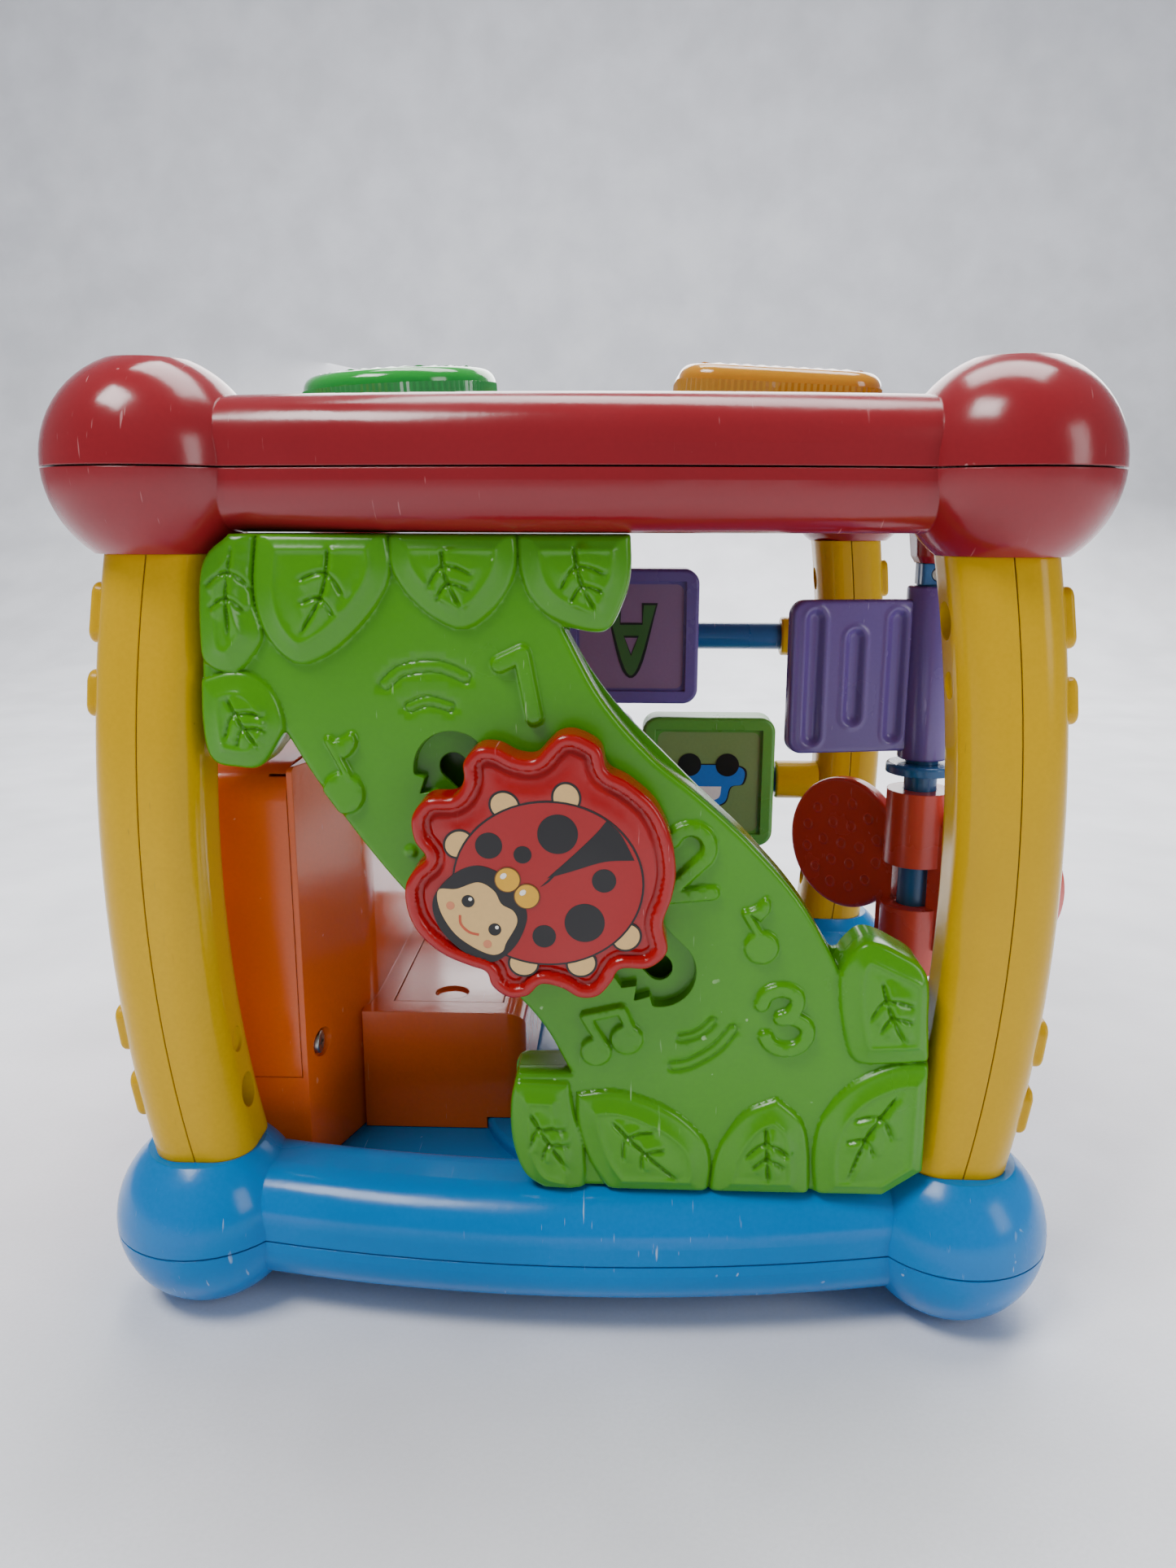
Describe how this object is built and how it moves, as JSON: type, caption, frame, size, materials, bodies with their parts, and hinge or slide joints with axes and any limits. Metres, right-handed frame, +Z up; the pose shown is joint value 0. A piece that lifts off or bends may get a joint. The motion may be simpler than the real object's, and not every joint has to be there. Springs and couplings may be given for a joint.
{
  "type": "baby activity cube",
  "caption": "Activity cube for babies: bowed posts between two frames, light-up buttons on top, a sliding ladybird, turning pages, picture tiles and music keys.",
  "frame": {"origin": "on the floor, under the middle of the cube", "axes": "+Z up, -Y towards the ladybird side, +X to the right seen from there"},
  "size_m": [0.2569, 0.2396, 0.2365],
  "materials": {
    "red_plastic": "glossy",
    "blue_plastic": "glossy",
    "rod_blue": "glossy",
    "yellow_plastic": "glossy",
    "lime_plastic": "glossy",
    "orange_plastic": "glossy",
    "purple_plastic": "glossy",
    "dark_red_plastic": "glossy",
    "green_clear": "translucent, glossy",
    "amber_clear": "translucent, glossy",
    "violet_clear": "translucent, glossy",
    "rose_clear": "translucent, glossy",
    "tile_purple": "satin",
    "tile_pink": "satin",
    "tile_green": "satin",
    "tile_orange": "satin",
    "key_white": "glossy",
    "screw_steel": "zinc plated",
    "contact_metal": "nickel plated",
    "board_green": "solder mask",
    "silicone": "matt",
    "lamp": "clear",
    "cell_jacket": "printed jacket",
    "speaker_black": "paper and steel"
  },
  "bodies": {
    "cube": {"top_frame_upper": "red_plastic", "top_frame_lower": "red_plastic", "base_frame_upper": "blue_plastic", "base_frame_lower": "blue_plastic", "base_screws": "screw_steel", "post_screws": "screw_steel", "top_screws": "screw_steel", "front_panel_screws": "screw_steel", "top_panel": "purple_plastic", "button_sheet": "silicone", "light_board": "board_green", "lights": "lamp", "top_under_cover": "red_plastic", "front_panel": "lime_plastic", "front_panel_cover": "lime_plastic", "housing_outer": "orange_plastic", "housing_inner": "orange_plastic", "battery_door": "orange_plastic", "battery_cells": "cell_jacket", "battery_contacts": "contact_metal", "battery_door_screw": "screw_steel", "housing_screws": "screw_steel", "main_board": "board_green", "speaker": "speaker_black", "key_strip": "silicone", "upright_rod": "rod_blue", "upright_rod_screw": "screw_steel", "rear_rod_upper": "rod_blue", "rear_rod_lower": "rod_blue", "post_front_left_outer": "yellow_plastic", "post_front_left_inner": "yellow_plastic", "post_front_right_outer": "yellow_plastic", "post_front_right_inner": "yellow_plastic", "post_rear_left_outer": "yellow_plastic", "post_rear_left_inner": "yellow_plastic", "post_rear_right_outer": "yellow_plastic", "post_rear_right_inner": "yellow_plastic"},
    "button_green": {"button_green": "green_clear"},
    "button_amber": {"button_amber": "amber_clear"},
    "button_purple": {"button_purple": "violet_clear"},
    "button_red": {"button_red": "rose_clear"},
    "ladybird": {"ladybird": "red_plastic", "ladybird_retainer": "red_plastic", "ladybird_screw": "screw_steel"},
    "page_purple": {"page_purple": "purple_plastic"},
    "page_red": {"page_red": "dark_red_plastic"},
    "tile_a": {"tile_a_front": "tile_purple", "tile_a_back": "tile_purple"},
    "tile_b": {"tile_b_front": "tile_pink", "tile_b_back": "tile_pink"},
    "tile_c": {"tile_c_front": "tile_green", "tile_c_back": "tile_green"},
    "tile_d": {"tile_d_front": "tile_orange", "tile_d_back": "tile_orange"},
    "key_high": {"key_high": "key_white"},
    "key_middle": {"key_middle": "key_white"},
    "key_low": {"key_low": "key_white"},
    "mode_switch": {"mode_switch": "purple_plastic"}
  },
  "joints": [
    {"name": "press_green", "type": "slide", "parent": "cube", "child": "button_green", "axis": [0.0539, 0.0539, -0.9971], "range_m": [0, 0.0025], "stiffness_N_per_m": 400, "springref_m": -0.001},
    {"name": "press_amber", "type": "slide", "parent": "cube", "child": "button_amber", "axis": [-0.0539, 0.0539, -0.9971], "range_m": [0, 0.0025], "stiffness_N_per_m": 400, "springref_m": -0.001},
    {"name": "press_purple", "type": "slide", "parent": "cube", "child": "button_purple", "axis": [0.0539, -0.0539, -0.9971], "range_m": [0, 0.0025], "stiffness_N_per_m": 400, "springref_m": -0.001},
    {"name": "press_red", "type": "slide", "parent": "cube", "child": "button_red", "axis": [-0.0539, -0.0539, -0.9971], "range_m": [0, 0.0025], "stiffness_N_per_m": 400, "springref_m": -0.001},
    {"name": "press_key_high", "type": "slide", "parent": "cube", "child": "key_high", "axis": [1, 0, 0], "range_m": [0, 0.0025], "stiffness_N_per_m": 400, "springref_m": -0.001},
    {"name": "press_key_middle", "type": "slide", "parent": "cube", "child": "key_middle", "axis": [1, 0, 0], "range_m": [0, 0.0025], "stiffness_N_per_m": 400, "springref_m": -0.001},
    {"name": "press_key_low", "type": "slide", "parent": "cube", "child": "key_low", "axis": [1, 0, 0], "range_m": [0, 0.0025], "stiffness_N_per_m": 400, "springref_m": -0.001},
    {"name": "ladybird_slide", "type": "slide", "parent": "cube", "child": "ladybird", "axis": [0.7034, 0, -0.7108], "range_m": [-0.0298, 0.0379]},
    {"name": "mode_slide", "type": "slide", "parent": "cube", "child": "mode_switch", "axis": [0, 0, 1], "range_m": [-0.006, 0.006]},
    {"name": "turn_page_purple", "type": "hinge", "parent": "cube", "child": "page_purple", "pos_m": [0.103, -0.0085, 0.12], "axis": [0, 0, 1], "continuous": true},
    {"name": "turn_page_red", "type": "hinge", "parent": "cube", "child": "page_red", "pos_m": [0.103, -0.0085, 0.12], "axis": [0, 0, 1], "continuous": true},
    {"name": "turn_tile_a", "type": "hinge", "parent": "cube", "child": "tile_a", "pos_m": [0.0126, 0.096, 0.153], "axis": [1, 0, 0], "continuous": true},
    {"name": "turn_tile_b", "type": "hinge", "parent": "cube", "child": "tile_b", "pos_m": [-0.012, 0.096, 0.0953], "axis": [1, 0, 0], "continuous": true},
    {"name": "turn_tile_c", "type": "hinge", "parent": "cube", "child": "tile_c", "pos_m": [0.0438, 0.096, 0.0953], "axis": [1, 0, 0], "continuous": true},
    {"name": "turn_tile_d", "type": "hinge", "parent": "cube", "child": "tile_d", "pos_m": [-0.042, 0.096, 0.153], "axis": [1, 0, 0], "continuous": true}
  ]
}
